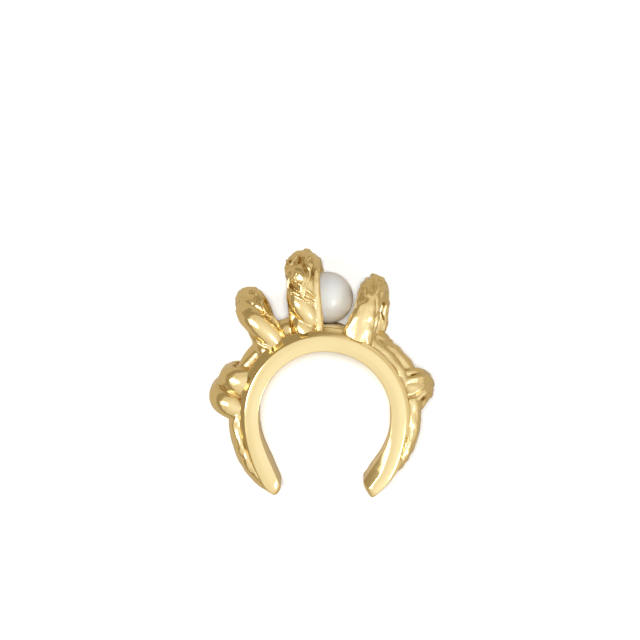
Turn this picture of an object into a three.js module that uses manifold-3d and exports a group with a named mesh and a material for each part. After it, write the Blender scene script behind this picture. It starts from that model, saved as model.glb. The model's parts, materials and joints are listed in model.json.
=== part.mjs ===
// An open ear cuff, cast in one piece: a C-shaped band with a twisted rope that winds over it in
// five raised loops, and one pearl that sits on a post between the two tallest loops.
// Millimetres. +Z is the band's axis: the cuff lies on its flat back rim, with its front rim up.
// Angles are in degrees round the band's axis, anticlockwise from +X as seen from the front.
import * as THREE from "three";
import { mergeVertices } from "three/addons/utils/BufferGeometryUtils.js";
import Module from "manifold-3d";

// Band
const BAND_WIDTH = 7.4; // from the back rim to the front rim
const BEVEL_DEPTH = 0.42;
const BACK_BEVEL = 0.2;
const BORE_EASE = 0.12; // small bevel where the bore meets each rim
const CHAMFER_SLOPE = 1.4; // depth of the front inner chamfer, as a share of its width
const BAND_STEPS = 72;

// Rope
const LEG_MARGIN_FRONT = 1.5; // front face to the middle of a loop's front leg
const LEG_MARGIN_BACK = 1.34;
const FOOT_RADIUS = 5.95; // the legs start inside the band's wall
const CROSSING_RADIUS = 6.75; // middle of the rope where it lies across the band
const STRANDS = 3;
const STRAND_DEPTH = 0.11; // groove between strands, as a share of the rope's half thickness
const STRAND_PITCH = 5.2; // length in which the strands turn once round the rope
const ROPE_SIDES = 12;
const ROPE_STEP = 0.55;
const SLIVER = 0.012; // faces narrower than this, left where solids meet, are merged away

// Pearl
const PEARL_RADIUS = 2.0;
const PEARL_ANGLE = 88.9;
const PEARL_HEIGHT = 8.86; // pearl's middle, from the band's axis
const PEARL_Z = 3.55;
const PEARL_GAP = 0.1;
const POST_RADIUS = 0.4;
const POST_ROOT = 5.5; // the post starts inside the band's wall
const POST_END = 0.3; // how far the post reaches past the pearl's middle
const BORE_CLEARANCE = 0.1; // between the post and the pearl's drilled hole

// A row is a section of the band. bore and back are the inner radius at the front and back rims,
// face and outer the radii of the front bevel's two edges, chamfer cuts the front inner edge, and
// inset draws both rims in where an end is rounded.
const bandSections = [
  { angle: -60.5, bore: 6.12, back: 6.12, face: 6.82, outer: 6.98, chamfer: 0.3, inset: 0.4 },
  { angle: -59.3, bore: 5.95, back: 5.97, face: 6.95, outer: 7.1, chamfer: 0.42, inset: 0.12 },
  { angle: -56, bore: 5.8, back: 5.8, face: 6.95, outer: 7.08, chamfer: 0.52, inset: 0 },
  { angle: -48, bore: 5.53, back: 5.5, face: 6.86, outer: 6.98, chamfer: 0.52, inset: 0 },
  { angle: -36, bore: 5.36, back: 5.31, face: 6.6, outer: 6.86, chamfer: 0.3, inset: 0 },
  { angle: -18, bore: 5.2, back: 5.2, face: 6.25, outer: 6.62, chamfer: 0.02, inset: 0 },
  { angle: 0, bore: 5.03, back: 5.03, face: 6.17, outer: 6.48, chamfer: 0, inset: 0 },
  { angle: 75, bore: 5.03, back: 5.03, face: 6.17, outer: 6.48, chamfer: 0, inset: 0 },
  { angle: 125, bore: 5.03, back: 5.03, face: 6.17, outer: 6.84, chamfer: 0, inset: 0 },
  { angle: 150, bore: 5.03, back: 5.03, face: 6.12, outer: 6.72, chamfer: 0, inset: 0 },
  { angle: 180, bore: 5.03, back: 5.03, face: 6.06, outer: 6.42, chamfer: 0, inset: 0 },
  { angle: 205, bore: 5.13, back: 5.15, face: 6.24, outer: 6.42, chamfer: 0, inset: 0 },
  { angle: 220, bore: 5.38, back: 5.36, face: 6.6, outer: 6.78, chamfer: 0.05, inset: 0 },
  { angle: 232, bore: 5.86, back: 5.86, face: 6.94, outer: 7.1, chamfer: 0.12, inset: 0 },
  { angle: 236.5, bore: 6.14, back: 6.14, face: 6.92, outer: 7.06, chamfer: 0.16, inset: 0.12 },
  { angle: 238.5, bore: 6.36, back: 6.36, face: 6.74, outer: 6.84, chamfer: 0.16, inset: 0.45 },
];

// A row is a raised loop, from the left end of the band round to the right. The rope rises at the
// front, passes its crown and comes down at the back, and each of the three has its own angle. height
// is the crown's middle. foot is half the rope's thickness at the legs; at the crown, rise is half of
// it outward and wide half of it sideways. The two low loops are deep enough to meet the band.
const loops = [
  { name: "left_low", front: 174, crown: 168.5, back: 155, height: 7.9, foot: 1.02, rise: 1.06, wide: 1.2 },
  { name: "left_tall", front: 127.5, crown: 123.8, back: 126, height: 10.15, foot: 1, rise: 1.26, wide: 1.3 },
  { name: "middle", front: 102, crown: 98, back: 96.5, height: 11.25, foot: 1, rise: 1.34, wide: 1.34 },
  { name: "right_tall", front: 64.5, crown: 70, back: 54.5, height: 10.15, foot: 1.06, rise: 1.1, wide: 1.1 },
  { name: "right_low", front: 17, crown: 13.5, back: -5, height: 7.78, foot: 0.98, rise: 0.86, wide: 1.12 },
];

// A row is a stretch of rope across the band, from one loop's back leg to the next one's front leg.
const crossings = [
  { from: "left_low", to: "left_tall", thick: 0.9 },
  { from: "left_tall", to: "middle", thick: 0.98 },
  { from: "middle", to: "right_tall", thick: 0.86 },
  { from: "right_tall", to: "right_low", thick: 0.84 },
];

// A row is a flattened end of the rope along a limb of the band: rise is its half thickness outward,
// spread its half width along the axis, and reach the radius of its middle, each at start and end.
const tails = [
  { start: 176, end: 236, reach: [6.4, 6.87], z: [5.4, 3.7], rise: [0.88, 0.64], spread: [1.2, 2.9] },
  { start: -3, end: -50, reach: [6.3, 6.5], z: [1.9, 3.7], rise: [0.95, 0.5], spread: [1.1, 2.9] },
];

const GOLD = { color: 0xe3bf74, roughness: 0.18, metalness: 1.0 };
const PEARL = { color: 0xe9e6e3, roughness: 0.28, metalness: 0.0 };

const radians = THREE.MathUtils.degToRad;
const mix = THREE.MathUtils.lerp;
const outward = (angle) => new THREE.Vector3(Math.cos(radians(angle)), Math.sin(radians(angle)), 0);
const sideways = (angle) => new THREE.Vector3(-Math.sin(radians(angle)), Math.cos(radians(angle)), 0);
const place = (angle, radius, z) => outward(angle).multiplyScalar(radius).setZ(z);

const wasm = await Module();
wasm.setup();

// A closed three.js geometry as a solid that can be joined and cut.
function solidOf(geometry) {
  const bare = geometry.index ? geometry.toNonIndexed() : geometry.clone();
  bare.deleteAttribute("normal");
  bare.deleteAttribute("uv");
  const merged = mergeVertices(bare, 1e-4);
  return new wasm.Manifold(
    new wasm.Mesh({
      numProp: 3,
      vertProperties: merged.attributes.position.array,
      triVerts: new Uint32Array(merged.index.array),
    }),
  );
}

// A joined solid as a three.js geometry with flat faces.
function geometryOf(solid) {
  const { numProp, vertProperties, triVerts } = solid.getMesh();
  const corners = new Float32Array((vertProperties.length / numProp) * 3);
  for (let i = 0; i * numProp < vertProperties.length; i++)
    corners.set(vertProperties.subarray(i * numProp, i * numProp + 3), i * 3);
  const geometry = new THREE.BufferGeometry()
    .setAttribute("position", new THREE.BufferAttribute(corners, 3))
    .setIndex(new THREE.BufferAttribute(new Uint32Array(triVerts), 1))
    .toNonIndexed();
  geometry.computeVertexNormals();
  return geometry;
}

// The value of a section table's column at an angle: a smooth cubic between the two rows beside it
// that never goes past either row's value.
function columnAt(rows, key, angle) {
  const last = rows.length - 1;
  const climb = (i) => (rows[i + 1][key] - rows[i][key]) / (rows[i + 1].angle - rows[i].angle);
  const slope = (i) => {
    const before = climb(Math.max(0, i - 1));
    const after = climb(Math.min(last - 1, i));
    return before * after > 0 ? (2 * before * after) / (before + after) : 0;
  };
  const next = THREE.MathUtils.clamp(rows.findIndex((row) => row.angle >= angle), 1, last);
  const [a, b] = [rows[next - 1], rows[next]];
  const span = b.angle - a.angle;
  const t = THREE.MathUtils.clamp((angle - a.angle) / span, 0, 1);
  const bend = span * t * (1 - t) * (slope(next - 1) * (1 - t) - slope(next) * t);
  return mix(a[key], b[key], t * t * (3 - 2 * t)) + bend;
}

// The band: a straight bar extruded in steps, whose section corners are then carried round the axis.
function band() {
  const columns = ["bore", "back", "face", "outer", "chamfer", "inset"];
  const front = ["backBore", "frontBore", "frontFace", "bevelTop"];
  const corner = [...front, "bevelFoot", "backFoot", "backFace", "backEase"];
  const shape = new THREE.Shape(
    corner.map((_, i) => {
      const turn = -(i / corner.length) * 2 * Math.PI;
      return new THREE.Vector2(Math.cos(turn), Math.sin(turn));
    }),
  );
  const bar = new THREE.ExtrudeGeometry(shape, { depth: 1, steps: BAND_STEPS, bevelEnabled: false });
  const first = bandSections[0].angle;
  const last = bandSections.at(-1).angle;
  const at = bar.attributes.position;
  for (let i = 0; i < at.count; i++) {
    const turn = -Math.atan2(at.getY(i), at.getX(i)) / (2 * Math.PI);
    const which = Math.round((turn + 1) * corner.length) % corner.length;
    const angle = mix(last, first, at.getZ(i));
    const section = columns.map((key) => columnAt(bandSections, key, angle));
    const [bore, back, face, outer, chamfer, inset] = section;
    const ease = Math.max(BORE_EASE, chamfer);
    const rim = BAND_WIDTH - inset;
    const [radius, z] = {
      backBore: [back, inset + BORE_EASE],
      frontBore: [bore, rim - ease * CHAMFER_SLOPE],
      frontFace: [bore + ease, rim],
      bevelTop: [face, rim],
      bevelFoot: [outer, rim - BEVEL_DEPTH],
      backFoot: [outer, inset + BACK_BEVEL],
      backFace: [outer - BACK_BEVEL, inset],
      backEase: [back + BORE_EASE, inset],
    }[corner[which]];
    const p = place(angle, radius, z);
    at.setXYZ(i, p.x, p.y, p.z);
  }
  return solidOf(bar);
}

// A rope carried along a path of points: a cylinder's rings are moved onto the path and grooved
// between turning strands. away(t) is a direction that is never along the path, and shape(t) gives
// half of the rope's thickness toward it and half of it across, square to it and to the path.
function rope(points, away, shape) {
  const curve = new THREE.CatmullRomCurve3(points, false, "centripetal");
  const length = curve.getLength();
  const steps = Math.ceil(length / ROPE_STEP);
  const bar = new THREE.CylinderGeometry(1, 1, 1, ROPE_SIDES, steps);
  const at = bar.attributes.position;
  for (let i = 0; i < at.count; i++) {
    const t = at.getY(i) + 0.5;
    const along = curve.getTangentAt(t);
    const side = new THREE.Vector3().crossVectors(away(t), along).normalize();
    const up = new THREE.Vector3().crossVectors(along, side).normalize();
    const turn = Math.atan2(at.getZ(i), at.getX(i));
    const strand = (STRANDS / 2) * (turn - (2 * Math.PI * length * t) / STRAND_PITCH);
    const groove = 1 + STRAND_DEPTH * (Math.abs(Math.cos(strand)) - 0.75);
    const reach = Math.hypot(at.getX(i), at.getZ(i)) * groove;
    const { toward, across } = shape(t);
    const p = curve
      .getPointAt(t)
      .addScaledVector(side, -reach * across * Math.cos(turn))
      .addScaledVector(up, reach * toward * Math.sin(turn));
    at.setXYZ(i, p.x, p.y, p.z);
  }
  return solidOf(bar);
}

const LEG_FRONT_Z = BAND_WIDTH - LEG_MARGIN_FRONT;
const LEG_BACK_Z = LEG_MARGIN_BACK;
const LEG_SPAN = (LEG_FRONT_Z - LEG_BACK_Z) / 2; // half the distance between a loop's legs
const LEG_MID_Z = (LEG_FRONT_Z + LEG_BACK_Z) / 2;

// The angle of a loop at share t of its way, through its front, crown and back angles.
function loopAngle(loop, t) {
  const front = 2 * (t - 0.5) * (t - 1);
  const crown = -4 * t * (t - 1);
  const back = 2 * t * (t - 0.5);
  return front * loop.front + crown * loop.crown + back * loop.back;
}

// A loop: two straight legs and a half ellipse over them, thickest at the crown.
function loopRope(loop) {
  const rise = loop.height - FOOT_RADIUS;
  const bow = Math.min(rise, LEG_SPAN);
  const leg = rise - bow;
  const bowPoints = 8;
  const profile = [];
  if (leg > 0) profile.push([FOOT_RADIUS, LEG_FRONT_Z], [FOOT_RADIUS + leg / 2, LEG_FRONT_Z]);
  for (let i = 0; i <= bowPoints; i++) {
    const turn = (Math.PI * i) / bowPoints;
    profile.push([FOOT_RADIUS + leg + bow * Math.sin(turn), LEG_MID_Z + LEG_SPAN * Math.cos(turn)]);
  }
  if (leg > 0) profile.push([FOOT_RADIUS + leg / 2, LEG_BACK_Z], [FOOT_RADIUS, LEG_BACK_Z]);
  const share = (i) => i / (profile.length - 1);
  const points = profile.map(([radius, z], i) => place(loopAngle(loop, share(i)), radius, z));
  return rope(
    points,
    (t) => sideways(loopAngle(loop, t)),
    (t) => {
      const crown = Math.sin(Math.PI * t);
      return { toward: mix(loop.foot, loop.wide, crown), across: mix(loop.foot, loop.rise, crown) };
    },
  );
}

// A crossing: the rope lies on the band from the back of one loop to the front of the next.
function crossingRope({ from, to, thick }) {
  const a = loops.find((loop) => loop.name === from);
  const b = loops.find((loop) => loop.name === to);
  const stations = 5;
  const points = [];
  for (let i = 0; i <= stations; i++) {
    const t = i / stations;
    points.push(
      place(
        mix(a.back, b.front, THREE.MathUtils.smoothstep(t, 0, 1)),
        CROSSING_RADIUS,
        mix(LEG_BACK_Z, LEG_FRONT_Z, t),
      ),
    );
  }
  const middle = (a.back + b.front) / 2;
  return rope(
    points,
    () => outward(middle),
    () => ({ toward: thick, across: thick }),
  );
}

// A tail: the rope flattens along a limb of the band and closes to a rounded end.
function tailRope({ start, end, reach, z, rise, spread }) {
  const stations = 8;
  const points = [];
  for (let i = 0; i <= stations; i++) {
    const t = i / stations;
    points.push(place(mix(start, end, t), mix(reach[0], reach[1], t), mix(z[0], z[1], t)));
  }
  return rope(
    points,
    (t) => outward(mix(start, end, t)),
    (t) => {
      const close = Math.sqrt(Math.max(0.04, 1 - Math.pow(t, 6)));
      return {
        toward: mix(rise[0], rise[1], t) * close,
        across: mix(spread[0], spread[1], t) * close,
      };
    },
  );
}

// A turned solid whose axis stands out from the band at the pearl's angle, at the pearl's depth.
function turnedAtPearl(profile, sides) {
  const geometry = new THREE.LatheGeometry(profile.map(([x, y]) => new THREE.Vector2(x, y)), sides);
  geometry.rotateZ(radians(PEARL_ANGLE - 90));
  geometry.translate(0, 0, PEARL_Z);
  return geometry;
}

// The half-drilled pearl, as a profile from the bottom of its hole round to its top.
function pearlProfile() {
  const hole = POST_RADIUS + BORE_CLEARANCE;
  const mouth = Math.asin(hole / PEARL_RADIUS);
  const rows = 20;
  const depth = PEARL_HEIGHT + POST_END + BORE_CLEARANCE;
  const profile = [[0, depth], [hole, depth]];
  for (let i = 0; i <= rows; i++) {
    const turn = mix(mouth, Math.PI, i / rows);
    profile.push([PEARL_RADIUS * Math.sin(turn), PEARL_HEIGHT - PEARL_RADIUS * Math.cos(turn)]);
  }
  profile[profile.length - 1][0] = 0;
  return profile;
}

function postProfile() {
  return [
    [0, POST_ROOT],
    [POST_RADIUS, POST_ROOT],
    [POST_RADIUS, PEARL_HEIGHT + POST_END],
    [0, PEARL_HEIGHT + POST_END],
  ];
}

// The room that the pearl takes: a ball a little larger than it, hollowed into the rope beside it.
function pearlSeat() {
  const ball = new THREE.SphereGeometry(PEARL_RADIUS + PEARL_GAP, 32, 20);
  const middle = place(PEARL_ANGLE, PEARL_HEIGHT, PEARL_Z);
  return solidOf(ball.translate(middle.x, middle.y, middle.z));
}

function castCuff() {
  const ropes = [...loops.map(loopRope), ...crossings.map(crossingRope), ...tails.map(tailRope)];
  const body = ropes.reduce((joined, next) => joined.add(next), band());
  const seated = body.subtract(pearlSeat());
  return geometryOf(seated.add(solidOf(turnedAtPearl(postProfile(), 16))).simplify(SLIVER));
}

function named(name, geometry, finish) {
  const mesh = new THREE.Mesh(geometry, new THREE.MeshStandardMaterial(finish));
  mesh.name = name;
  return mesh;
}

const earCuff = new THREE.Group();
earCuff.add(named("cast_cuff", castCuff(), GOLD));
earCuff.add(named("pearl", turnedAtPearl(pearlProfile(), 32), PEARL));

// The origin is under the middle of the cuff, on the surface that it lies on.
const extent = new THREE.Box3().setFromObject(earCuff);
const middle = extent.getCenter(new THREE.Vector3());
earCuff.position.set(-middle.x, -middle.y, -extent.min.z);

export default earCuff;
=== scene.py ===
"""The looks of an open ear cuff: a cast gold band under a twisted rope, and one pearl.

Shapes are worked out in millimetres round the band's axis, with angles in degrees anticlockwise
from +X as seen from the front rim, and are written to their meshes in metres.
"""
import json

import bpy
import numpy as np
from mathutils import Matrix, Vector

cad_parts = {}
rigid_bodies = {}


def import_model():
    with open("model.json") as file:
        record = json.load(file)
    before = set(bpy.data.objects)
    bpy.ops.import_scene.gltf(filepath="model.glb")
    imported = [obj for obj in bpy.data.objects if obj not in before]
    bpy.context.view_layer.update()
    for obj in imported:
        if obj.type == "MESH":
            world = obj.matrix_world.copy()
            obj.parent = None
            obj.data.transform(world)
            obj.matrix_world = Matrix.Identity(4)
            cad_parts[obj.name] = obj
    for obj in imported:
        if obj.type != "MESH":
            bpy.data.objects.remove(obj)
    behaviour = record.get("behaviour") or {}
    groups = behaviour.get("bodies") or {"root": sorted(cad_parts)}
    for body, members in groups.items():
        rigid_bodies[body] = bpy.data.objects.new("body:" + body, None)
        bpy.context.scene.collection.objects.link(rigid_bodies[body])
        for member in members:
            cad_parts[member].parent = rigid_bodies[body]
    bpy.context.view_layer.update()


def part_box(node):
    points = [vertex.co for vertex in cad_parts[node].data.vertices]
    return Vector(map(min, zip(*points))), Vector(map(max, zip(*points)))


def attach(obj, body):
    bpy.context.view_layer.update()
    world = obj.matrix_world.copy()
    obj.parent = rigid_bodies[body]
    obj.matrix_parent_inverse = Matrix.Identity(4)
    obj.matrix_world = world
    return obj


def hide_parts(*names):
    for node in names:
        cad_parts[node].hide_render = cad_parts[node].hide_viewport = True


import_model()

# The pearl: one round cultured pearl, 4 mm across and half-drilled, glued on a hidden post between
# the two tallest loops. Its place in the frame also gives the band's axis, which all else turns on.
MM = 0.001
PEARL_RADIUS = 2.0
PEARL_ANGLE = 88.9
PEARL_HEIGHT = 8.86
PEARL_SHRINK = 0.006  # the share by which it is smaller than the true ball
PEARL_WAVES = ((2, 3, 0, 0.0048), (3, -2, 1, 0.00336))  # waves round and up it, phase and height
PEARL_HOLE = 0.5  # radius
HOLE_END = 0.25  # how far the hole reaches past the pearl's middle
PEARL_ROWS = 120
PEARL_SIDES = 160
POLE_EASE = 0.01  # angle in radians that a ball's last ring of points keeps from its pole


def outward(angle):
    """Unit vectors that point away from the band's axis at these angles."""
    turn = np.radians(angle)
    return np.stack([np.cos(turn), np.sin(turn), np.zeros_like(turn)], -1)


def sideways(angle):
    """Unit vectors that point anticlockwise round the band's axis at these angles."""
    turn = np.radians(angle)
    return np.stack([-np.sin(turn), np.cos(turn), np.zeros_like(turn)], -1)


pearl_low, pearl_high = [np.array(corner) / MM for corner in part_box("pearl")]
pearl_middle = (pearl_low + pearl_high) / 2
pearl_middle[1] = pearl_high[1] - PEARL_RADIUS
band_axis = pearl_middle * [1, 1, 0] - PEARL_HEIGHT * outward(np.array(PEARL_ANGLE))


def new_piece(name, vertices, faces):
    """A mesh object from an array of vertices in millimetres and an array of faces."""
    mesh = bpy.data.meshes.new(name)
    mesh.from_pydata((vertices * MM).tolist(), [], faces)
    mesh.polygons.foreach_set("use_smooth", [True] * len(mesh.polygons))
    piece = bpy.data.objects.new(name, mesh)
    bpy.context.scene.collection.objects.link(piece)
    return piece


def tube_faces(rings, sides):
    """Quads between rings of points that close on themselves, and a fan to a point at each end."""
    ring, side = np.meshgrid(np.arange(rings - 1), np.arange(sides), indexing="ij")
    here = ring * sides + side
    beside = ring * sides + (side + 1) % sides
    quads = np.stack([here, beside, beside + sides, here + sides], -1).reshape(-1, 4)
    around = np.arange(sides)
    first = np.stack([(around + 1) % sides, around, np.full(sides, rings * sides)], -1)
    last_ring = (rings - 1) * sides
    last = np.stack([last_ring + around, last_ring + (around + 1) % sides], -1)
    last = np.concatenate([last, np.full((sides, 1), rings * sides + 1)], 1)
    return quads.tolist() + first.tolist() + last.tolist()


def closed_tube(grid):
    """The vertices and faces of a grid of rings, closed at both ends by the ring's middle."""
    rings, sides = grid.shape[:2]
    ends = np.stack([grid[0].mean(0), grid[-1].mean(0)])
    return np.concatenate([grid.reshape(-1, 3), ends]), tube_faces(rings, sides)


def pearl_surface():
    """A ball whose radius swells and dips by two slow waves that fade towards its poles. It is open
    at the foot, and its hole runs up as a straight wall from there to a flat end."""
    mouth = np.arcsin(PEARL_HOLE / PEARL_RADIUS)
    polar = np.linspace(mouth, np.pi - POLE_EASE, PEARL_ROWS)[:, None]
    around = np.linspace(0, 2 * np.pi, PEARL_SIDES, endpoint=False)[None, :]
    waves = sum(
        height * np.sin(count * around + climb * polar + phase)
        for count, climb, phase, height in PEARL_WAVES
    )
    radius = PEARL_RADIUS * (1 - PEARL_SHRINK) + waves * np.sin(polar) ** 2
    out = -np.cos(polar) * radius
    along = np.sin(polar) * radius * np.cos(around)
    across = np.sin(polar) * radius * np.sin(around)
    up = outward(np.array(PEARL_ANGLE))
    side = sideways(np.array(PEARL_ANGLE))
    front = np.array([0, 0, 1.0])
    shell = out[..., None] * up + along[..., None] * front + across[..., None] * side
    hole = shell[:1] - (out[:1, :, None] - HOLE_END) * up
    return np.concatenate([hole, shell]) + pearl_middle


def node(tree, kind, **values):
    """A shader node of this kind, with its inputs set by name or its properties by attribute."""
    made = tree.nodes.new(kind)
    for key, value in values.items():
        if key in made.inputs:
            made.inputs[key].default_value = value
        else:
            setattr(made, key, value)
    return made


def blended(tree, low, high):
    """A mix of two colours, whose share comes through its Factor socket."""
    made = node(tree, "ShaderNodeMix", data_type="RGBA")
    made.inputs["A"].default_value = (*low, 1)
    made.inputs["B"].default_value = (*high, 1)
    return made


def new_finish(name, **values):
    """A material, its node tree and its shader, whose sockets are set by name."""
    finish = bpy.data.materials.new(name)
    finish.use_nodes = True
    shader = finish.node_tree.nodes["Principled BSDF"]
    for key, value in values.items():
        shader.inputs[key.replace("_", " ")].default_value = value
    return finish, finish.node_tree, shader


def millimetres_from(tree, middle):
    """Object coordinates in millimetres from a point, as an output socket."""
    place = node(tree, "ShaderNodeTexCoord")
    centre = node(tree, "ShaderNodeMapping", vector_type="POINT")
    centre.inputs["Scale"].default_value = (1 / MM,) * 3
    centre.inputs["Location"].default_value = tuple(-middle)
    tree.links.new(place.outputs["Object"], centre.inputs["Vector"])
    return centre.outputs["Vector"]


def nacre_finish():
    """Milky nacre: a cool white with warm clouds, satin under a clear coat, with faint overtones that
    turn rosy and green towards the ball's edge. Painted light and reflection shift its colour cool
    towards the upper left, where the light falls, and warm towards the lower right, where it mirrors
    the gold below it."""
    finish, tree, shader = new_finish(
        "pearl_nacre", Roughness=0.24, IOR=1.66, Coat_Weight=1.0, Coat_Roughness=0.3, Coat_IOR=1.6,
        Subsurface_Weight=0.1, Subsurface_Scale=0.0006,
    )
    place = millimetres_from(tree, pearl_middle)
    clouds = node(tree, "ShaderNodeTexNoise", Scale=0.55, Detail=3.0, Roughness=0.5)
    # Painted light and reflection: cool towards the upper left and warm beige towards the lower right,
    # added to the random clouds.
    side = node(tree, "ShaderNodeVectorMath", operation="DOT_PRODUCT")
    side.inputs[1].default_value = (0.22, -0.2, 0.0)
    drift = node(tree, "ShaderNodeMath", operation="ADD")
    body = blended(tree, (0.60, 0.635, 0.66), (0.70, 0.68, 0.62))
    edge = node(tree, "ShaderNodeLayerWeight", Blend=0.35)
    overtone = node(tree, "ShaderNodeValToRGB")
    stops = overtone.color_ramp.elements
    stops[0].color = (1, 1, 1, 1)
    stops[1].color = (0.86, 0.93, 0.90, 1)
    stops.new(0.45).color = (1.0, 0.95, 0.96, 1)
    toned = node(tree, "ShaderNodeMix", data_type="RGBA", blend_type="MULTIPLY")
    toned.inputs["Factor"].default_value = 0.8
    terraces = node(tree, "ShaderNodeTexNoise", Scale=2.2, Detail=5.0, Roughness=0.6)
    relief = node(tree, "ShaderNodeBump", Strength=0.25, Distance=0.02 * MM)
    tree.links.new(place, clouds.inputs["Vector"])
    tree.links.new(place, terraces.inputs["Vector"])
    tree.links.new(place, side.inputs[0])
    tree.links.new(side.outputs["Value"], drift.inputs[0])
    tree.links.new(clouds.outputs["Fac"], drift.inputs[1])
    tree.links.new(drift.outputs["Value"], body.inputs["Factor"])
    tree.links.new(edge.outputs["Facing"], overtone.inputs["Fac"])
    tree.links.new(body.outputs["Result"], toned.inputs["A"])
    tree.links.new(overtone.outputs["Color"], toned.inputs["B"])
    tree.links.new(toned.outputs["Result"], shader.inputs["Base Color"])
    tree.links.new(terraces.outputs["Fac"], relief.inputs["Height"])
    tree.links.new(relief.outputs["Normal"], shader.inputs["Normal"])
    return finish


pearl = new_piece("pearl_ball", *closed_tube(pearl_surface()))
pearl.data.materials.append(nacre_finish())
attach(pearl, "root")
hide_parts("pearl")

# The band: one heavy C of cast and polished metal. Its front rim is a flat face with a bevel on the
# outside, widest at the upper left, and its two ends flare outward and are rounded off.
BAND_WIDTH = 7.4
BEVEL_SLOPE = 0.95  # depth of the front bevel, as a share of its width
FACE_CROWN = 0.06  # how much higher the front face is in its middle than at its edges
BACK_BEVEL = 0.2  # where the outside meets the back rim
BORE_EASE = 0.12  # small bevel where the bore meets each rim
CHAMFER_SLOPE = 0.68  # depth of the front inner chamfer, as a share of its width
BAND_STEPS = 340
EDGE_ROUND = 0.06  # how far from a corner of the section its rounding starts
CROWN_ROUND = 0.5  # the same for the middle of the crowned face
END_ROUND = 0.22  # radius of the rounding at the band's two ends
ROUND_LIMIT = 0.45  # the most of a side that the rounding of one corner takes
END_STEPS = 6
END_SHRINK = 0.9  # the share of END_ROUND by which an end's section draws in
ARC_POINTS = 5
FACE_MIDDLE = 3  # place of the crowned face's middle among a section's corners

# A row is a section of the band. bore and back are the inner radius at the front and back rims, face
# and outer the radii of the front bevel's two edges, chamfer cuts the front inner edge, and inset
# draws both rims in where an end is rounded.
SECTION_COLUMNS = ("angle", "bore", "back", "face", "outer", "chamfer", "inset")
SECTIONS = np.array([
    (-60.5, 5.94, 6.02, 6.82, 6.98, 0.44, 0.4),
    (-59.3, 5.74, 5.84, 6.95, 7.1, 0.6, 0.12),
    (-56, 5.54, 5.72, 6.95, 7.08, 0.76, 0),
    (-48, 5.3, 5.45, 6.86, 6.98, 0.76, 0),
    (-36, 5.14, 5.31, 6.6, 6.86, 0.52, 0),
    (-18, 5.12, 5.2, 6.25, 6.62, 0.16, 0),
    (0, 5.03, 5.03, 6.17, 6.48, 0, 0),
    (75, 5.03, 5.03, 6.17, 6.48, 0, 0),
    (125, 5.03, 5.03, 6.17, 6.84, 0, 0),
    (150, 5.03, 5.03, 6.12, 6.72, 0, 0),
    (180, 5.03, 5.03, 6.06, 6.42, 0, 0),
    (205, 5.13, 5.15, 6.24, 6.42, 0, 0),
    (220, 5.38, 5.36, 6.6, 6.78, 0.05, 0),
    (232, 5.86, 5.86, 6.94, 7.1, 0.12, 0),
    (236.5, 6.14, 6.14, 6.92, 7.06, 0.16, 0.12),
    (238.5, 6.3, 6.3, 6.82, 6.94, 0.16, 0.4),
])
SECTION = dict(zip(SECTION_COLUMNS, SECTIONS.T))


def through_rows(x, y, at):
    """A cubic through the rows that never passes their values: each slope is the harmonic mean."""
    span = np.diff(x)
    climb = np.diff(y) / span
    before = np.concatenate([climb[:1], climb])
    after = np.concatenate([climb, climb[-1:]])
    level = before * after <= 0
    slope = np.where(level, 0, 2 * before * after / np.where(level, 1, before + after))
    i = np.clip(np.searchsorted(x, at) - 1, 0, len(span) - 1)
    t = np.clip((at - x[i]) / span[i], 0, 1)
    bend = span[i] * t * (1 - t) * (slope[i] * (1 - t) - slope[i + 1] * t)
    return y[i] + (y[i + 1] - y[i]) * t * t * (3 - 2 * t) + bend


def band_corners(angle):
    """The radius and z of the section's nine corners at each angle."""
    bore, back, face, outer, chamfer, inset = [
        through_rows(SECTION["angle"], SECTION[name], angle) for name in SECTION_COLUMNS[1:]
    ]
    ease = np.maximum(BORE_EASE, chamfer)
    rim = BAND_WIDTH - inset
    bevel = (outer - face) * BEVEL_SLOPE
    corners = [
        (back, inset + BORE_EASE),
        (bore, rim - ease * CHAMFER_SLOPE),
        (bore + ease, rim - FACE_CROWN),
        ((bore + ease + face) / 2, rim),
        (face, rim - FACE_CROWN),
        (outer, rim - bevel),
        (outer, inset + BACK_BEVEL),
        (outer - BACK_BEVEL, inset),
        (back + BORE_EASE, inset),
    ]
    return np.stack([np.stack(corner, -1) for corner in corners], 1)


def rounded(corners):
    """Each corner becomes a short parabola between points EDGE_ROUND along its two sides, and the
    one in the middle of the front face a long one."""
    before = np.roll(corners, 1, 1) - corners
    after = np.roll(corners, -1, 1) - corners
    reach = np.full((1, corners.shape[1], 1), EDGE_ROUND)
    reach[:, FACE_MIDDLE] = CROWN_ROUND
    share = [
        np.minimum(reach / np.linalg.norm(side, axis=-1, keepdims=True), ROUND_LIMIT)
        for side in (before, after)
    ]
    start = (corners + before * share[0])[:, :, None]
    end = (corners + after * share[1])[:, :, None]
    t = np.linspace(0, 1, ARC_POINTS)[None, None, :, None]
    arcs = start * (1 - t) ** 2 + corners[:, :, None] * 2 * t * (1 - t) + end * t**2
    return arcs.reshape(len(corners), -1, 2)


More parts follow.
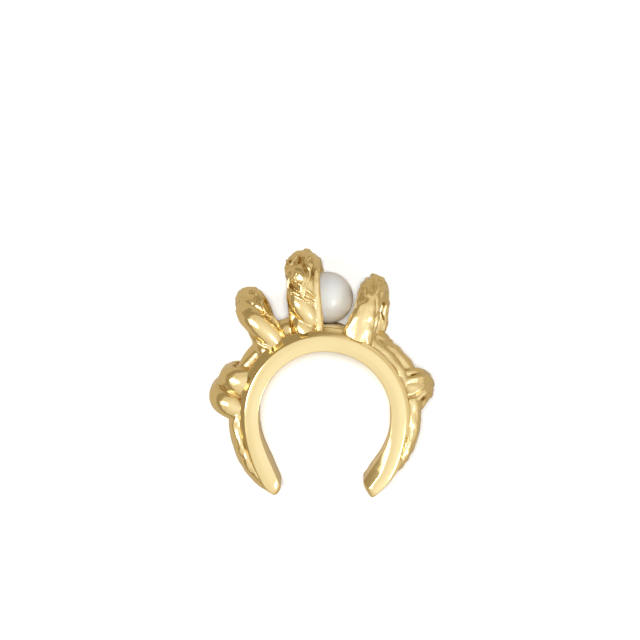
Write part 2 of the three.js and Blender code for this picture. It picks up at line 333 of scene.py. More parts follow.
def band_surface():
    """The rounded section carried round the axis; past each end it shrinks along a quarter circle."""
    turn = np.linspace(0, np.pi / 2, END_STEPS + 1)[1:]
    advance = np.degrees(END_ROUND * np.sin(turn) / SECTION["outer"][0])
    first, last = SECTION["angle"][[0, -1]]
    angle = np.concatenate([
        first - advance[::-1] + advance[-1],
        np.linspace(first + advance[-1], last - advance[-1], BAND_STEPS),
        last + advance - advance[-1],
    ])
    shrink = END_ROUND * (1 - np.cos(turn)) * END_SHRINK
    shrink = np.concatenate([shrink[::-1], np.zeros(BAND_STEPS), shrink])
    section = rounded(band_corners(angle))
    middle = (section.max(1, keepdims=True) + section.min(1, keepdims=True)) / 2
    half = (section.max(1, keepdims=True) - section.min(1, keepdims=True)) / 2
    section = middle + (section - middle) * (1 - shrink[:, None, None] / half)
    radius, z = section[..., 0], section[..., 1]
    grid = outward(angle)[:, None, :] * radius[..., None]
    grid[..., 2] = z
    return grid[::-1] + band_axis


def band_finish():
    """Gold plate over polished brass: slow waves left by hand polishing, fine scratches that run
    round the band, and a tone that drifts between pale and deeper gold."""
    finish, tree, shader = new_finish("polished_band_gold", Metallic=1.0)
    place = millimetres_from(tree, band_axis)
    split = node(tree, "ShaderNodeSeparateXYZ")
    turn = node(tree, "ShaderNodeMath", operation="ARCTAN2")
    flat = node(tree, "ShaderNodeVectorMath", operation="MULTIPLY")
    flat.inputs[1].default_value = (1, 1, 0)
    reach = node(tree, "ShaderNodeVectorMath", operation="LENGTH")
    polar = node(tree, "ShaderNodeCombineXYZ")
    stretch = node(tree, "ShaderNodeMapping", vector_type="POINT")
    stretch.inputs["Scale"].default_value = (9.0, 1.6, 9.0)
    scratches = node(tree, "ShaderNodeTexNoise", Scale=2.4, Detail=4.0, Roughness=0.7)
    waves = node(tree, "ShaderNodeTexNoise", Scale=0.42, Detail=1.5, Roughness=0.4)
    tone = blended(tree, (0.955, 0.80, 0.455), (0.93, 0.755, 0.395))
    gloss = node(tree, "ShaderNodeMapRange")
    gloss.inputs["To Min"].default_value = 0.11
    gloss.inputs["To Max"].default_value = 0.2
    swells = node(tree, "ShaderNodeBump", Strength=0.5, Distance=0.12 * MM)
    marks = node(tree, "ShaderNodeBump", Strength=0.06, Distance=0.02 * MM)
    for source, target in (
        (place, split.inputs[0]),
        (place, flat.inputs[0]),
        (place, waves.inputs["Vector"]),
        (split.outputs["Y"], turn.inputs[0]),
        (split.outputs["X"], turn.inputs[1]),
        (flat.outputs["Vector"], reach.inputs[0]),
        (reach.outputs["Value"], polar.inputs["X"]),
        (turn.outputs["Value"], polar.inputs["Y"]),
        (split.outputs["Z"], polar.inputs["Z"]),
        (polar.outputs["Vector"], stretch.inputs["Vector"]),
        (stretch.outputs["Vector"], scratches.inputs["Vector"]),
        (waves.outputs["Fac"], tone.inputs["Factor"]),
        (tone.outputs["Result"], shader.inputs["Base Color"]),
        (scratches.outputs["Fac"], gloss.inputs["Value"]),
        (gloss.outputs["Result"], shader.inputs["Roughness"]),
        (waves.outputs["Fac"], swells.inputs["Height"]),
        (scratches.outputs["Fac"], marks.inputs["Height"]),
        (swells.outputs["Normal"], marks.inputs["Normal"]),
        (marks.outputs["Normal"], shader.inputs["Normal"]),
    ):
        tree.links.new(source, target)
    return finish


band = new_piece("band_blank", *closed_tube(band_surface()))
band.data.materials.append(band_finish())

# The rope: thick strands of cast metal, twisted together and wound over the band in five loops.
# They are smooth and full on the left, and turn rough and ridged like bark towards the right.
FOOT_RADIUS = 5.95  # the legs start inside the band's wall
LEG_FRONT_Z = 5.9  # height of a loop's front leg and of its back leg
LEG_BACK_Z = 1.34
LEG_SPAN = (LEG_FRONT_Z - LEG_BACK_Z) / 2
LEG_MIDDLE_Z = (LEG_FRONT_Z + LEG_BACK_Z) / 2
LEG_SHARE = 1 / 6  # share of a tall loop's way that each straight leg takes
STRAND_SIDES = 40
STRAND_RINGS = 280
RIDGE_WAVES = (2, 3, 5, 7)  # waves round a strand that its ridges are made of
RIDGE_BEND = 0.9  # how far the ridges bend as they run
RIDGE_SWELL = 0.35  # height of the slow swells under the ridges, as a share of theirs
PHASE_END = 6.28  # a phase is drawn between 0 and nearly a full turn

# A row is a raised loop, with the angles of its front foot, its crown and its back foot. height is
# the radius of the rope's middle at the crown, and square makes the bow fuller at its shoulders the
# further it is below 1.
LOOPS = {
    "left_low": dict(front=165.5, crown=163.5, back=157, height=7.64, square=0.42),
    "left_tall": dict(front=128.3, crown=124, back=129.5, height=10.15, square=0.85),
    "middle": dict(front=101.5, crown=98, back=96.5, height=11.35, square=0.8),
    "right_tall": dict(front=64.5, crown=69, back=54.5, height=10.35, square=0.85),
    "right_low": dict(front=15, crown=17, back=3, height=7.75, square=0.65),
}

# A row is a strand of a loop, over the span of the loop's way that it takes. turn is where it lies
# round the rope at the start, middle and end of the span, in degrees from the side that faces
# outward and front. Where pitch is given, the strand instead winds once round in that length, and
# faces outward at the length meets. offset is its distance from the rope's middle at the same three
# places and thick its half thickness, and flat the share of that which it has outward and inward.
# sway is how far it wanders to its sides in degrees, how many times and from which phase, and lean
# shifts it anticlockwise. rough is the height of its ridges, as a share of its half thickness.
STRANDS = {
    "left_low": [
        dict(turn=(80, 62, 55), offset=(1.1, 0.78, 0.6), thick=(0.96, 1.0, 0.8), rough=0.006,
             flat=0.94),
        dict(turn=(-74, -66, -70), offset=(1.0, 0.8, 0.5), thick=(1.24, 0.84, 0.8), rough=0.05,
             flat=0.7),
        dict(turn=(180, 180, 180), offset=(0.5, 0.4, 0.2), thick=(0.9, 0.9, 0.9), rough=0.01),
        dict(span=(0, 0.5), turn=(-96, -96, -100), offset=(1.96, 1.6, 1.2), thick=(0.2, 0.2, 0.16),
             rough=0.08, sway=(3, 2.5, 0)),
        dict(span=(0, 0.5), turn=(-34, -22, -20), offset=(1.06, 0.98, 0.9), thick=(0.1, 0.13, 0.1),
             rough=0.06, sway=(4, 2, 0)),
        dict(span=(0.06, 0.4), turn=(-66, -58, -40), offset=(1.4, 1.5, 1.1), thick=(0.1, 0.13, 0.08),
             rough=0.08, sway=(7, 2.5, 1)),
    ],
    "left_tall": [
        dict(pitch=7.4, meets=2.4, offset=(0.4, 0.42, 0.4), thick=(0.92, 0.92, 0.8), rough=0.005),
        dict(pitch=7.4, meets=6.1, offset=(0.4, 0.42, 0.4), thick=(0.92, 0.92, 0.8), rough=0.02),
        dict(span=(0.06, 0.9), pitch=7.4, meets=4.25, offset=(0.88, 0.98, 0.86),
             thick=(0.14, 0.12, 0.08), rough=0.03),
        dict(span=(0.02, 0.5), pitch=7.4, meets=0.55, offset=(0.92, 0.98, 0.86),
             thick=(0.16, 0.12, 0.08), rough=0.03),
        dict(span=(0, 0.3), turn=(-60, -78, -104), offset=(1.06, 1.16, 1.0), thick=(0.3, 0.22, 0.1),
             rough=0.1),
        dict(span=(0.24, 0.7), turn=(-64, -40, -60), offset=(1.14, 1.22, 1.1), thick=(0.1, 0.16, 0.1),
             rough=0.1, sway=(12, 2.5, 1)),
    ],
    "middle": [
        dict(pitch=4.1, meets=2.34, offset=(0.32, 0.46, 0.4), thick=(0.8, 0.88, 0.8), rough=0.012,
             lean=0.06),
        dict(pitch=4.1, meets=4.39, offset=(0.32, 0.46, 0.4), thick=(0.8, 0.88, 0.8), rough=0.012,
             lean=0.06),
        dict(turn=(-62, -72, -66), offset=(1.0, 1.04, 0.6), thick=(0.36, 0.36, 0.5), rough=0.008),
        dict(span=(0, 0.34), turn=(84, 90, 100), offset=(0.86, 0.92, 0.8), thick=(0.42, 0.34, 0.16),
             rough=0.02),
        dict(span=(0.03, 0.4), pitch=4.1, meets=3.3, offset=(0.96, 1.04, 1.1), thick=(0.12, 0.13, 0.1),
             rough=0.03, lean=0.06),
        dict(span=(0.1, 0.36), pitch=5.2, meets=3.95, offset=(1.12, 1.22, 1.2),
             thick=(0.08, 0.1, 0.06), rough=0.03, lean=0.06),
        dict(span=(0.16, 0.5), turn=(-20, 24, 10), offset=(1.1, 1.3, 1.2), thick=(0.08, 0.12, 0.1),
             rough=0.05, sway=(16, 2.2, 0.6)),
        dict(span=(0.2, 0.62), turn=(50, 64, 50), offset=(1.16, 1.32, 1.2), thick=(0.1, 0.15, 0.14),
             rough=0.05, sway=(9, 3, 0)),
        dict(span=(0.18, 0.6), turn=(-10, -26, -10), offset=(1.12, 1.3, 1.2), thick=(0.1, 0.16, 0.14),
             rough=0.05, sway=(9, 2.5, 1)),
        dict(span=(0.24, 0.66), turn=(86, 96, 90), offset=(0.9, 1.06, 1.0), thick=(0.16, 0.3, 0.2),
             rough=0.08, sway=(6, 4, 2)),
    ],
    "right_tall": [
        dict(turn=(0, 0, 0), offset=(0, 0.1, 0), thick=(0.9, 0.76, 0.8), rough=0.02),
        dict(turn=(96, 88, 90), offset=(0.8, 0.62, 0.6), thick=(0.26, 0.28, 0.3), rough=0.06,
             sway=(8, 3.5, 0)),
        dict(turn=(60, 50, 60), offset=(0.84, 0.7, 0.7), thick=(0.2, 0.24, 0.3), rough=0.08,
             sway=(12, 4, 1.4)),
        dict(turn=(30, 16, 30), offset=(0.84, 0.84, 0.8), thick=(0.18, 0.24, 0.3), rough=0.08,
             sway=(13, 4.5, 4.2)),
        dict(turn=(-4, -12, 0), offset=(0.86, 0.88, 0.8), thick=(0.18, 0.22, 0.3), rough=0.1,
             sway=(13, 5, 0.6)),
        dict(turn=(-36, -44, -36), offset=(0.86, 0.86, 0.8), thick=(0.2, 0.22, 0.3), rough=0.1,
             sway=(13, 5.5, 3.2)),
        dict(turn=(-72, -78, -70), offset=(0.9, 0.84, 0.8), thick=(0.26, 0.26, 0.3), rough=0.12,
             sway=(11, 6, 5)),
        dict(turn=(-106, -108, -100), offset=(0.95, 0.8, 0.7), thick=(0.32, 0.3, 0.3), rough=0.12,
             sway=(9, 6, 1)),
        dict(span=(0, 0.3), turn=(20, 10, -14), offset=(0.8, 0.86, 0.9), thick=(1.0, 1.02, 0.1),
             rough=0.008, flat=0.5),
        dict(span=(0, 0.16), turn=(-34, -30, -28), offset=(0.9, 0.9, 0.8), thick=(0.5, 0.4, 0.1),
             rough=0.02),
    ],
    "right_low": [
        dict(turn=(0, 0, 0), offset=(0, 0.1, 0), thick=(1.0, 0.84, 0.9), rough=0.03),
        dict(turn=(84, 70, 70), offset=(1.5, 0.78, 0.6), thick=(0.42, 0.34, 0.5), rough=0.08,
             sway=(4, 1.5, 0)),
        dict(turn=(56, 30, 50), offset=(1.1, 0.76, 0.6), thick=(0.3, 0.26, 0.4), rough=0.08,
             sway=(8, 2, 1)),
        dict(turn=(6, -10, 0), offset=(0.86, 0.76, 0.6), thick=(0.26, 0.24, 0.4), rough=0.1,
             sway=(12, 2.5, 3)),
        dict(turn=(-50, -44, -50), offset=(1.1, 0.8, 0.6), thick=(0.3, 0.26, 0.4), rough=0.1,
             sway=(9, 2, 5)),
        dict(turn=(-80, -74, -70), offset=(1.6, 0.86, 0.6), thick=(0.44, 0.36, 0.5), rough=0.1,
             sway=(5, 2, 2)),
    ],
}



def three_point(values, t):
    """The parabola through three values at t = 0, 1/2 and 1."""
    start, middle, end = values
    return 2 * (t - 0.5) * (t - 1) * start - 4 * t * (t - 1) * middle + 2 * t * (t - 0.5) * end


def unit(vectors):
    """The same directions at length 1."""
    return vectors / np.linalg.norm(vectors, axis=-1, keepdims=True)


def loop_middle(loop, t):
    """The middle of a loop's rope and its angle: a straight leg, a half ellipse and a leg again."""
    rise = loop["height"] - FOOT_RADIUS
    bow = min(rise, LEG_SPAN)
    leg = rise - bow
    straight = LEG_SHARE if leg > 0 else 0
    turn = np.pi * np.clip((t - straight) / (1 - 2 * straight), 0, 1)
    risen = np.clip(np.minimum(t, 1 - t) / max(straight, 1e-6), 0, 1)
    risen_bow = np.sin(turn) ** loop["square"]
    forward = np.sign(np.cos(turn)) * np.abs(np.cos(turn)) ** loop["square"]
    radius = FOOT_RADIUS + leg * risen + bow * risen_bow
    angle = three_point((loop["front"], loop["crown"], loop["back"]), t)
    path = outward(angle) * radius[:, None]
    path[:, 2] = LEG_MIDDLE_Z + LEG_SPAN * forward
    return path, angle


def ridges(along, around, depth, seed):
    """Long narrow ridges that wander along a strand, as the sum of bent waves folded upward."""
    rng = np.random.default_rng(seed)
    total = np.zeros(np.broadcast_shapes(along.shape, around.shape))
    for count in RIDGE_WAVES:
        phase, bend, drift = rng.uniform(0, PHASE_END, 3)
        bent = RIDGE_BEND * np.sin(along * rng.uniform(1.2, 2.6) + bend)
        wave = np.sin(count * around + bent * count * 0.5 + along * (drift - 3.1) * 0.5 + phase)
        total = total + (0.5 - np.abs(wave)) / count**0.5
        total = total + RIDGE_SWELL * np.sin(along * rng.uniform(3, 6) + 2 * around + phase)
    return depth * total * 0.5


def swept(path, side, half_side, half_out, rough, seed):
    """An oval section carried along a path. half_side is half its thickness towards side, half_out
    half of it across, and ridges raise it."""
    along = unit(np.gradient(path, axis=0))
    out = unit(np.cross(along, side))
    side = np.cross(out, along)
    length = np.concatenate([[0], np.cumsum(np.linalg.norm(np.diff(path, axis=0), axis=1))])
    around = np.linspace(0, 2 * np.pi, STRAND_SIDES, endpoint=False)[None, :]
    raised = 1 + ridges(length[:, None], around, rough, seed)
    a = (half_out[:, None] * raised * np.cos(around))[..., None] * out[:, None, :]
    b = (half_side[:, None] * raised * np.sin(around))[..., None] * side[:, None, :]
    return path[:, None, :] + a + b


def strand_surface(loop, row, seed):
    """A strand of a loop, wound round the rope's middle by its turn and offset."""
    start, end = row.get("span", (0, 1))
    share = np.linspace(0, 1, STRAND_RINGS)
    path, angle = loop_middle(loop, start + (end - start) * share)
    side = sideways(angle)
    along = unit(np.gradient(path, axis=0))
    out = unit(np.cross(along, side))
    if "pitch" in row:
        whole = loop_middle(loop, np.linspace(0, 1, STRAND_RINGS))[0]
        length = np.concatenate([[0], np.cumsum(np.linalg.norm(np.diff(whole, axis=0), axis=1))])
        length = np.interp(start + (end - start) * share, np.linspace(0, 1, STRAND_RINGS), length)
        turn = 360 * (length - row["meets"]) / row["pitch"]
    else:
        turn = three_point(row["turn"], share)
    reach, count, phase = row.get("sway", (0, 0, 0))
    turn = np.radians(turn + reach * np.sin(2 * np.pi * count * share + phase))[:, None]
    offset = three_point(row["offset"], share)[:, None]
    thick = three_point(row["thick"], share)
    centre = path + offset * (out * np.cos(turn) + side * np.sin(turn)) + row.get("lean", 0) * side
    flat = row.get("flat", 1)
    return swept(centre, side, thick, thick * flat, row["rough"], seed) + band_axis


parts = []
for name, rows in STRANDS.items():
    for row in rows:
        number = len(parts)
        surface = strand_surface(LOOPS[name], row, number)
        parts.append(new_piece(f"strand_{number}", *closed_tube(surface)))

# Stretches of rope across the band, each from one loop's back foot to the next one's front foot. They
# are cast with the loops, of three strands that meet at the front. fan is the share of the way from
# back to front over which their starts are spread, twist the degrees that they wind on the way, and
# reach their radius where it isn't the usual one.
CROSSING_RADIUS = 6.75
CROSSING_STRANDS = 3
CROSSING_OFFSET = 0.42  # each strand's place and half thickness, as shares of the rope's
CROSSING_THICK = 0.64
CROSSING_SEED = 40
CROSSINGS = [
    dict(start="left_low", end="left_tall", thick=0.9, rough=0.02, twist=200, fan=0.1),
    dict(start="left_tall", end="middle", thick=1.16, rough=0.012, twist=60, fan=0.2),
    dict(start="middle", end="right_tall", thick=0.7, rough=0.04, twist=120, fan=0.3, reach=6.4),
    dict(start="right_tall", end="right_low", thick=0.86, rough=0.09, twist=200, fan=0.75),
]


def crossing_surface(row, number):
    """A strand of a crossing: its middle lies on the band and it winds by an even twist."""
    t = np.linspace(0, 1, STRAND_RINGS)
    start, end = LOOPS[row["start"]]["back"], LOOPS[row["end"]]["front"]
    angle = start + (end - start) * t * t * (3 - 2 * t)
    path = outward(angle) * row.get("reach", CROSSING_RADIUS)
    first_z = LEG_BACK_Z + (LEG_FRONT_Z - LEG_BACK_Z) * row["fan"] * number / (CROSSING_STRANDS - 1)
    path[:, 2] = first_z + (LEG_FRONT_Z - first_z) * t
    along = unit(np.gradient(path, axis=0))
    side = outward(angle)
    out = unit(np.cross(side, along))
    turn = np.radians(360 * number / CROSSING_STRANDS + row["twist"] * t)[:, None]
    offset = row["thick"] * CROSSING_OFFSET
    centre = path + offset * (side * np.cos(turn) + out * np.sin(turn))
    thick = np.full(len(t), row["thick"] * CROSSING_THICK)
    return swept(centre, side, thick, thick, row["rough"], CROSSING_SEED + number) + band_axis


for place, row in enumerate(CROSSINGS):
    for number in range(CROSSING_STRANDS):
        surface = crossing_surface(row, number)
        parts.append(new_piece(f"crossing_{place}_{number}", *closed_tube(surface)))

# Strands cast along the band's front edge, which run from the foot of one loop to the next. reach is
# the radius of their middle, thick half their thickness, and both change evenly from start to end.
EDGE_SEED = 80
EDGES = [
    dict(start=126, end=158, reach=(6.75, 7.05), z=(5.7, 5.5), thick=(0.62, 0.72), rough=0.02),
    dict(start=100, end=127, reach=(6.9, 6.9), z=(5.0, 5.1), thick=(1.1, 1.1), rough=0.008),
    dict(start=66, end=101, reach=(6.35, 6.4), z=(5.6, 5.4), thick=(0.56, 0.6), rough=0.08),
    dict(start=66, end=12, reach=(6.45, 6.5), z=(6.15, 6.15), thick=(0.62, 0.56), rough=0.03),
    dict(start=62, end=24, reach=(6.9, 7.5), z=(5.1, 5.2), thick=(0.54, 0.4), rough=0.12),
    dict(start=60, end=38, reach=(6.8, 6.9), z=(4.9, 4.7), thick=(0.5, 0.5), rough=0.16),
]


def arc_path(row, t):
    """An arc along the band whose reach and z change evenly, and its angle."""
    angle = row["start"] + (row["end"] - row["start"]) * t
    path = outward(angle) * np.interp(t, (0, 1), row["reach"])[:, None]
    path[:, 2] = np.interp(t, (0, 1), row["z"])
    return path, angle


def edge_surface(row, seed):
    """A round section that changes its thickness evenly along an arc by the band's front edge."""
    t = np.linspace(0, 1, STRAND_RINGS)
    path, angle = arc_path(row, t)
    thick = np.interp(t, (0, 1), row["thick"])
    return swept(path, outward(angle), thick, thick, row["rough"], seed) + band_axis


for number, row in enumerate(EDGES):
    parts.append(new_piece(f"edge_{number}", *closed_tube(edge_surface(row, EDGE_SEED + number))))

# The rope's two ends, cast flat along the limbs of the band, which run out near its ends with a
# narrower strand in front of each. rise is half the thickness outward and spread half the width
# along the axis. Each changes evenly from start to end, and the section draws in at the very end.
TAIL_SEED = 60
TAIL_CLOSE = 6  # the higher this power, the blunter the end
TAIL_TIP = 0.04  # square of the share of its size that the section keeps at the very end
TAILS = [
    dict(start=174, end=238, reach=(6.4, 6.95), z=(5.4, 3.7), rise=(0.9, 0.72), spread=(1.2, 2.9),
         rough=0.05),
    dict(start=2, end=-50, reach=(6.45, 6.55), z=(1.9, 3.7), rise=(0.98, 0.56), spread=(1.1, 2.9),
         rough=0.06),
    dict(start=12, end=-42, reach=(6.6, 6.62), z=(6.1, 6.5), rise=(0.82, 0.5), spread=(0.9, 0.9),
         rough=0.04),
    dict(start=172, end=237.5, reach=(6.6, 6.76), z=(6.0, 6.74), rise=(0.62, 0.56), spread=(0.9, 0.8),
         rough=0.08),
]


def tail_surface(row, seed):
    """An oval section that flattens and spreads evenly along the limb and closes to a round end."""
    t = np.linspace(0, 1, STRAND_RINGS)
    path, angle = arc_path(row, t)
    close = np.sqrt(np.maximum(TAIL_TIP, 1 - t**TAIL_CLOSE))
    rise = np.interp(t, (0, 1), row["rise"]) * close
    spread = np.interp(t, (0, 1), row["spread"]) * close
    return swept(path, outward(angle), rise, spread, row["rough"], seed) + band_axis


for number, row in enumerate(TAILS):
    parts.append(new_piece(f"tail_{number}", *closed_tube(tail_surface(row, TAIL_SEED + number))))

# The casting: band and rope are one piece of cast brass, polished and plated. The rope is fused
# first, so that its strands run into each other, hollowed where the pearl sits and then joined to
# the band, with the plain post that the pearl is glued on.
ROPE_VOXEL = 0.055
ROPE_SMOOTH = 3
ROPE_TRIANGLES = 108000
PEARL_GAP = 0.1  # between the pearl and its seat
SEAT_ROWS = 60
SEAT_SIDES = 96
POST_RADIUS = 0.4
POST_ROOT = 5.5  # the post starts inside the band's wall
POST_END = 0.15  # how far it reaches past the pearl's middle
POST_SIDES = 48

# The cast's roughness, by the distance in millimetres to the right of the band's axis, below it or
# outward from it: it starts to show at the first value and is full at the second.
BARK_RIGHT = (-0.6, 3.6)
BARK_BELOW = (0.2, 2.7)
BARK_OUTWARD = (9.3, 10.5)
LIMB_BARK = 0.75  # the most that the left limb has of it
BARK_SIZES = (1.1, 0.9, 0.7, 0.6, 0.5, 0.42, 0.36, 0.3)
BARK_DEPTH = 0.038  # depth of the bark, as a share of the size of each wave
SMOOTH_DEPTH = 0.006  # the same where the cast is smooth
BARK_BEND = 0.9  # how far the waves of the bark bend
BARK_SEED = 7


def apply_modifiers(piece):
    """The piece keeps the mesh that its modifiers give, and the modifiers go."""
    depsgraph = bpy.context.evaluated_depsgraph_get()
    mesh = bpy.data.meshes.new_from_object(piece.evaluated_get(depsgraph))
    piece.modifiers.clear()
    piece.data = mesh


def joined(name, pieces):
    """One object with the meshes of all these pieces, which go."""
    with bpy.context.temp_override(
        active_object=pieces[0], selected_objects=pieces, selected_editable_objects=pieces
    ):
        bpy.ops.object.join()
    pieces[0].name = name
    return pieces[0]


rope = joined("rope_strands", parts)
remesh = rope.modifiers.new("fuse", "REMESH")
remesh.mode = "VOXEL"
remesh.voxel_size = ROPE_VOXEL * MM
remesh.use_smooth_shade = True
soften = rope.modifiers.new("soften", "SMOOTH")
soften.factor = 0.5
soften.iterations = ROPE_SMOOTH
apply_modifiers(rope)
thin = rope.modifiers.new("thin", "DECIMATE")
thin.ratio = min(1, ROPE_TRIANGLES / (2 * len(rope.data.polygons)))
apply_modifiers(rope)


def bark_share(places):
    """How rough the cast is at these places in millimetres: 0 low on the left, rising to 1 towards
    the right and out on the crowns, and at most LIMB_BARK along the left limb."""
    across, up = (places[:, :2] - band_axis[:2]).T
    right = np.interp(across, BARK_RIGHT, (0, 1))
    limb = np.interp(-up, BARK_BELOW, (0, LIMB_BARK))
    crown = np.interp(np.hypot(across, up), BARK_OUTWARD, (0, 1))
    return np.maximum(np.maximum(right, limb), crown)


def roughened(piece):
    """Moves each vertex along its normal by folded waves that run in many directions, deep where
    the cast is like bark and faint where it is smooth."""
    mesh = piece.data
    places = np.empty(len(mesh.vertices) * 3)
    normals = np.empty(len(mesh.vertices) * 3)
    mesh.vertices.foreach_get("co", places)
    mesh.vertices.foreach_get("normal", normals)
    places = places.reshape(-1, 3) / MM
    normals = normals.reshape(-1, 3)
    rng = np.random.default_rng(BARK_SEED)
    height = np.zeros(len(places))
    bend = np.sin(places @ rng.normal(size=3) * 1.3) + np.sin(places @ rng.normal(size=3) * 1.7)
    for size in BARK_SIZES:
        way = unit(rng.normal(size=3))
        wave = np.sin(places @ way * (np.pi / size) + bend * BARK_BEND + rng.uniform(0, PHASE_END))
        height += (0.5 - np.abs(wave)) * size
    depth = SMOOTH_DEPTH + (BARK_DEPTH - SMOOTH_DEPTH) * bark_share(places)
    places += normals * (height * depth)[:, None]
    mesh.vertices.foreach_set("co", (places * MM).ravel())
    mesh.update()


def rope_finish():
    """The same gold as cast: a grain of small pits that is stronger towards the right, and grooves
    that are duller, with painted shade that turns them browner the more the nearby surface hems them
    in."""
    finish, tree, shader = new_finish("cast_rope_gold", Metallic=1.0)
    place = millimetres_from(tree, band_axis)
    grain = node(tree, "ShaderNodeTexNoise", Scale=3.2, Detail=5.0, Roughness=0.62, Distortion=0.6)
    pits = node(tree, "ShaderNodeTexVoronoi", Scale=2.6, Randomness=1.0)
    across = node(tree, "ShaderNodeSeparateXYZ")
    share = node(tree, "ShaderNodeMapRange")
    share.inputs["From Min"].default_value = BARK_RIGHT[0]
    share.inputs["From Max"].default_value = BARK_RIGHT[1]
    share.inputs["To Min"].default_value = 0.3
    share.inputs["To Max"].default_value = 0.8
    tone = blended(tree, (0.955, 0.80, 0.46), (0.93, 0.75, 0.39))
    # Painted shade: how much the nearby surface hems a place in darkens its colour towards brown.
    shade = node(tree, "ShaderNodeAmbientOcclusion", samples=8, only_local=True, Distance=0.6 * MM)
    groove = node(tree, "ShaderNodeMapRange")
    groove.inputs["From Min"].default_value = 0.3
    groove.inputs["From Max"].default_value = 0.93
    groove_painted_shade = node(tree, "ShaderNodeMix", data_type="RGBA")
    groove_painted_shade.inputs["A"].default_value = (0.42, 0.26, 0.08, 1)
    gloss = node(tree, "ShaderNodeMapRange")
    gloss.inputs["To Min"].default_value = 0.36
    gloss.inputs["To Max"].default_value = 0.18
    fine = node(tree, "ShaderNodeBump", Distance=0.03 * MM)
    pocks = node(tree, "ShaderNodeBump", Strength=0.12, Distance=0.02 * MM)
    for source, target in (
        (place, grain.inputs["Vector"]),
        (place, pits.inputs["Vector"]),
        (place, across.inputs[0]),
        (across.outputs["X"], share.inputs["Value"]),
        (share.outputs["Result"], fine.inputs["Strength"]),
        (grain.outputs["Fac"], fine.inputs["Height"]),
        (pits.outputs["Distance"], pocks.inputs["Height"]),
        (fine.outputs["Normal"], pocks.inputs["Normal"]),
        (pocks.outputs["Normal"], shader.inputs["Normal"]),
        (grain.outputs["Fac"], tone.inputs["Factor"]),
        (shade.outputs["AO"], groove.inputs["Value"]),
        (groove.outputs["Result"], groove_painted_shade.inputs["Factor"]),
        (tone.outputs["Result"], groove_painted_shade.inputs["B"]),
        (groove_painted_shade.outputs["Result"], shader.inputs["Base Color"]),
        (groove.outputs["Result"], gloss.inputs["Value"]),
        (gloss.outputs["Result"], shader.inputs["Roughness"]),
    ):
        tree.links.new(source, target)
    return finish


roughened(rope)
rope.data.materials.clear()
rope.data.materials.append(rope_finish())


def combine(piece, other, operation):
    """Joins the other closed mesh to the piece or cuts it out of it, and the other goes."""
    step = piece.modifiers.new(operation, "BOOLEAN")
    step.operation = operation
    step.solver = "MANIFOLD"
    step.material_mode = "TRANSFER"
    step.object = other
    apply_modifiers(piece)
    bpy.data.objects.remove(other)


def ball_surface(radius, rows, sides):
    """A ball by its polar and round angles, nearly closed at its poles."""
    polar = np.linspace(POLE_EASE, np.pi - POLE_EASE, rows)[:, None]
    around = np.linspace(0, 2 * np.pi, sides, endpoint=False)[None, :]
    flat = np.sin(polar) * radius
    height = radius * np.cos(polar) + 0 * around
    return np.stack([flat * np.cos(around), flat * np.sin(around), height], -1)


def post_surface():
    """A round pin from inside the band's wall to just past the pearl's middle."""
    height = np.array([POST_ROOT, PEARL_HEIGHT + POST_END])[:, None]
    around = np.linspace(0, 2 * np.pi, POST_SIDES, endpoint=False)[None, :]
    ring = np.array([[0, 0, 1.0]]) * np.cos(around)[..., None]
    ring = ring + sideways(np.array(PEARL_ANGLE)) * np.sin(around)[..., None]
    axis_line = outward(np.array(PEARL_ANGLE)) * height[..., None]
    return axis_line + POST_RADIUS * ring + band_axis + [0, 0, pearl_middle[2]]


seat = ball_surface(PEARL_RADIUS + PEARL_GAP, SEAT_ROWS, SEAT_SIDES)[::-1] + pearl_middle
combine(rope, new_piece("pearl_seat", *closed_tube(seat)), "DIFFERENCE")
combine(band, rope, "UNION")
combine(band, new_piece("pearl_post", *closed_tube(post_surface())), "UNION")
casting = band
casting.name = "cast_cuff_gold"
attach(casting, "root")
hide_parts("cast_cuff")

# The stage: a pale floor, soft light and the camera, almost straight above as the photo looks.
for unused in [o for o in bpy.data.objects if o.name in ("Cube", "Light", "Camera")]:
    bpy.data.objects.remove(unused)

CAMERA_TILT = 5.5
CAMERA_DISTANCE = 350.0
PIXELS_PER_MM = 13.2
FRAME_PIXELS = 640
BAND_MIDDLE_PIXEL = (324.8, 418.0)  # where the middle of the front face lies in the photo
FLOOR_REACH = 2.0  # metres

floor_mesh = bpy.data.meshes.new("floor")
corners = [(x * FLOOR_REACH, y * FLOOR_REACH, 0) for x, y in ((-1, -1), (1, -1), (1, 1), (-1, 1))]
floor_mesh.from_pydata(corners, [], [(0, 1, 2, 3)])
floor = bpy.data.objects.new("floor", floor_mesh)
bpy.context.scene.collection.objects.link(floor)

# Painted shade in the metal's reflections: the floor is coloured darker and warmer for the rays that
# the metal mirrors than for the camera.
paper, paper_tree, paper_shader = new_finish("pale_floor", Roughness=0.9)
seen_by = node(paper_tree, "ShaderNodeLightPath")
reflected_floor_shade = blended(paper_tree, (0.97, 0.97, 0.97), (0.42, 0.35, 0.24))
paper_tree.links.new(seen_by.outputs["Is Glossy Ray"], reflected_floor_shade.inputs["Factor"])
paper_tree.links.new(reflected_floor_shade.outputs["Result"], paper_shader.inputs["Base Color"])
floor_mesh.materials.append(paper)

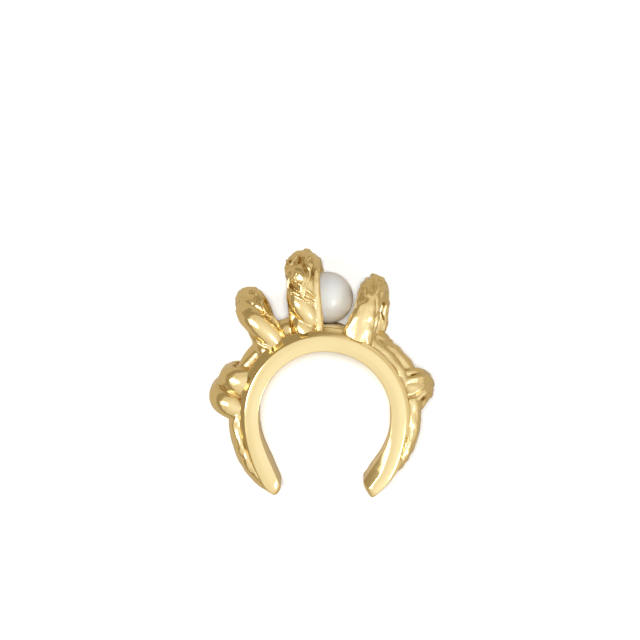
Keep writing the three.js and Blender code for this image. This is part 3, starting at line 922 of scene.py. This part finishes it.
tilt = np.radians(CAMERA_TILT)
toward_camera = np.array([0, np.sin(tilt), np.cos(tilt)])
image_up = np.array([0, np.cos(tilt), -np.sin(tilt)])
band_middle = band_axis + [0, 0, BAND_WIDTH]
shift = (np.array(BAND_MIDDLE_PIXEL) - FRAME_PIXELS / 2) / PIXELS_PER_MM
aim = band_middle - [shift[0], 0, 0] + image_up * shift[1]
eye = band_middle + toward_camera * CAMERA_DISTANCE
camera_data = bpy.data.cameras.new("camera")
camera_data.lens = camera_data.sensor_width * CAMERA_DISTANCE / (FRAME_PIXELS / PIXELS_PER_MM)
camera_data.clip_start = 0.001
camera = bpy.data.objects.new("camera", camera_data)
bpy.context.scene.collection.objects.link(camera)
back = Vector(eye - aim).normalized()
right = Vector(image_up).cross(back).normalized()
turn = Matrix((right, back.cross(right), back)).transposed().to_4x4()
camera.matrix_world = Matrix.Translation(Vector(eye * MM)) @ turn
bpy.context.scene.camera = camera

# The surroundings are bands of light and shade that the metal mirrors. A row gives the height of a
# band's middle, counted along LEAN from level at 0 to straight along it at 1, and its colour.
LEAN = (0.36, -0.14, 0.92)
SURROUNDINGS = (
    (0.12, (0.33, 0.26, 0.15)),
    (0.22, (0.60, 0.51, 0.36)),
    (0.34, (0.96, 0.90, 0.79)),
    (0.44, (0.70, 0.61, 0.46)),
    (0.62, (0.88, 0.81, 0.68)),
    (0.82, (0.93, 0.89, 0.81)),
)
world = bpy.data.worlds.new("studio")
bpy.context.scene.world = world
world.use_nodes = True
tree = world.node_tree
background = tree.nodes["Background"]
place = node(tree, "ShaderNodeTexCoord")
lean = node(tree, "ShaderNodeVectorMath", operation="DOT_PRODUCT")
lean.inputs[1].default_value = LEAN
ramp = node(tree, "ShaderNodeValToRGB")
stops = ramp.color_ramp.elements
stops[0].position = 0.0
stops[0].color = (0.36, 0.29, 0.18, 1)
stops[1].position = 0.99
stops[1].color = (1.06, 1.06, 1.05, 1)
for position, color in SURROUNDINGS:
    stops.new(position).color = (*color, 1)
tree.links.new(place.outputs["Generated"], lean.inputs[0])
tree.links.new(lean.outputs["Value"], ramp.inputs["Fac"])
tree.links.new(ramp.outputs["Color"], background.inputs["Color"])

# What the world gives to dull surfaces is cut down, so that the shadow on the floor stays faint.
DULL_CUT = 0.88
seen_by = node(tree, "ShaderNodeLightPath")
dim = node(tree, "ShaderNodeMath", operation="MULTIPLY_ADD")
dim.inputs[1].default_value = -DULL_CUT
dim.inputs[2].default_value = 1.0
tree.links.new(seen_by.outputs["Is Diffuse Ray"], dim.inputs[0])
tree.links.new(dim.outputs["Value"], background.inputs["Strength"])

# Three soft lamps. toward is the way to each from the cuff, with its distance and size in
# millimetres.
SOFTBOXES = [
    dict(name="window_left", toward=(-1.0, 0.12, 1), distance=200, size=(60, 110), watts=0.05),
    dict(name="key_above", toward=(-0.72, 0.2, 1), distance=230, size=(56, 110), watts=0.155),
    dict(name="fill_right", toward=(0.62, -0.35, 1), distance=200, size=(40, 70), watts=0.045),
]
for row in SOFTBOXES:
    lamp_data = bpy.data.lights.new(row["name"], "AREA")
    lamp_data.shape = "RECTANGLE"
    lamp_data.size = row["size"][0] * MM
    lamp_data.size_y = row["size"][1] * MM
    lamp_data.energy = row["watts"]
    lamp = bpy.data.objects.new(row["name"], lamp_data)
    bpy.context.scene.collection.objects.link(lamp)
    way = Vector(row["toward"]).normalized()
    spot = Vector(band_middle * MM) + way * row["distance"] * MM
    lamp.matrix_world = Matrix.Translation(spot) @ way.to_track_quat("Z", "Y").to_matrix().to_4x4()

# A cool lamp along the camera's own axis, so that its shadow hides behind the cuff. The metal
# doesn't mirror it.
overhead_data = bpy.data.lights.new("overhead", "SUN")
overhead_data.energy = 2.75
overhead_data.color = (0.97, 0.985, 1.0)
overhead_data.angle = np.radians(10)
overhead = bpy.data.objects.new("overhead", overhead_data)
overhead.visible_glossy = False
bpy.context.scene.collection.objects.link(overhead)
overhead.matrix_world = Matrix.Rotation(-tilt, 4, "X")

bpy.context.scene.view_settings.view_transform = "Standard"
